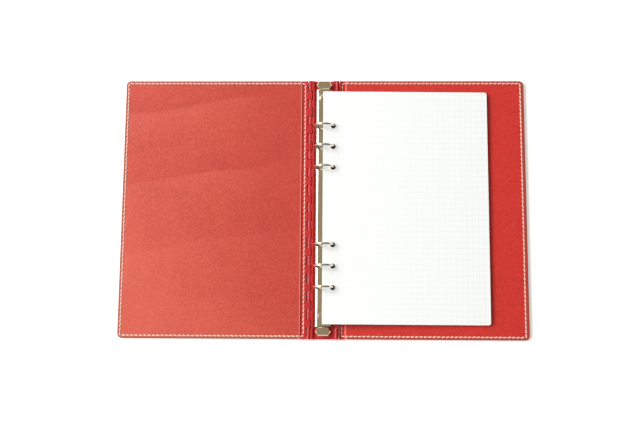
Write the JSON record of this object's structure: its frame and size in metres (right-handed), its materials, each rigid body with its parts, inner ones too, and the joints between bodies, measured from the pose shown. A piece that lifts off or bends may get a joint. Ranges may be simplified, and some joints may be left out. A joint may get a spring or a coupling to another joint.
{
  "type": "ring binder album",
  "caption": "Ring album with hinged stitched leather covers, a metal ring mechanism with end levers, and a stack of punched leaves, lying open.",
  "frame": {"origin": "middle of the outline on the table, at the bottom of the spine", "axes": "+X from the left cover to the right cover, +Y up along the spine, +Z off the table"},
  "size_m": [0.364, 0.235, 0.0197],
  "materials": {
    "spine_plastic": "satin moulded",
    "cover_leather": "fine grain",
    "lining_leather": "fine grain, semi-matt",
    "board": "plain greyboard",
    "nickel": "polished nickel plate",
    "steel": "plain zinc plate",
    "leaf_paper": "smooth white, faint grid",
    "thread": "waxed cream thread"
  },
  "bodies": {
    "spine": {"spine_channel": "spine_plastic", "left_hinge_pin": "steel", "right_hinge_pin": "steel", "ring_arch": "nickel", "rivets": "nickel"},
    "left_cover": {"left_hinge_leaf": "spine_plastic", "left_board": "board", "left_outer_leather": "cover_leather", "left_lining": "lining_leather"},
    "right_cover": {"right_hinge_leaf": "spine_plastic", "right_board": "board", "right_outer_leather": "cover_leather", "right_lining": "lining_leather"},
    "left_rings": {"left_blade": "steel", "left_ring_halves": "nickel"},
    "right_rings": {"right_blade": "steel", "right_ring_halves": "nickel"},
    "top_lever": {"top_lever": "nickel"},
    "bottom_lever": {"bottom_lever": "nickel"},
    "leaf_stack": {"leaves": "leaf_paper"}
  },
  "joints": [
    {"name": "left_cover_hinge", "type": "hinge", "parent": "spine", "child": "left_cover", "pos_m": [-0.0123, 0, 0.0025], "axis": [0, 1, 0], "range_deg": [0, 90]},
    {"name": "right_cover_hinge", "type": "hinge", "parent": "spine", "child": "right_cover", "pos_m": [0.0123, 0, 0.0025], "axis": [0, -1, 0], "range_deg": [0, 90]},
    {"name": "ring_opening", "type": "hinge", "parent": "spine", "child": "right_rings", "pos_m": [0.00665, 0, 0.00295], "axis": [0, 1, 0], "range_deg": [0, 9]},
    {"name": "left_ring_opening", "type": "hinge", "parent": "spine", "child": "left_rings", "pos_m": [-0.00565, 0, 0.00295], "axis": [0, -1, 0], "range_deg": [0, 9]},
    {"name": "top_lever_press", "type": "hinge", "parent": "spine", "child": "top_lever", "pos_m": [0.0005, 0.1062, 0.0033], "axis": [-1, 0, 0], "range_deg": [0, 15.75]},
    {"name": "bottom_lever_press", "type": "hinge", "parent": "spine", "child": "bottom_lever", "pos_m": [0.0005, -0.1044, 0.0033], "axis": [1, 0, 0], "range_deg": [0, 15.75]},
    {"name": "leaf_turn", "type": "hinge", "parent": "spine", "child": "leaf_stack", "pos_m": [0.0005, 0, 0.0105], "axis": [0, -1, 0], "range_deg": [0, 90]}
  ],
  "couplings": [
    {"joint": "left_ring_opening", "follows": "ring_opening", "ratio": 1},
    {"joint": "top_lever_press", "follows": "ring_opening", "ratio": 1.75},
    {"joint": "bottom_lever_press", "follows": "ring_opening", "ratio": 1.75},
    {"joint": "leaf_turn", "follows": "right_cover_hinge", "ratio": 1}
  ]
}
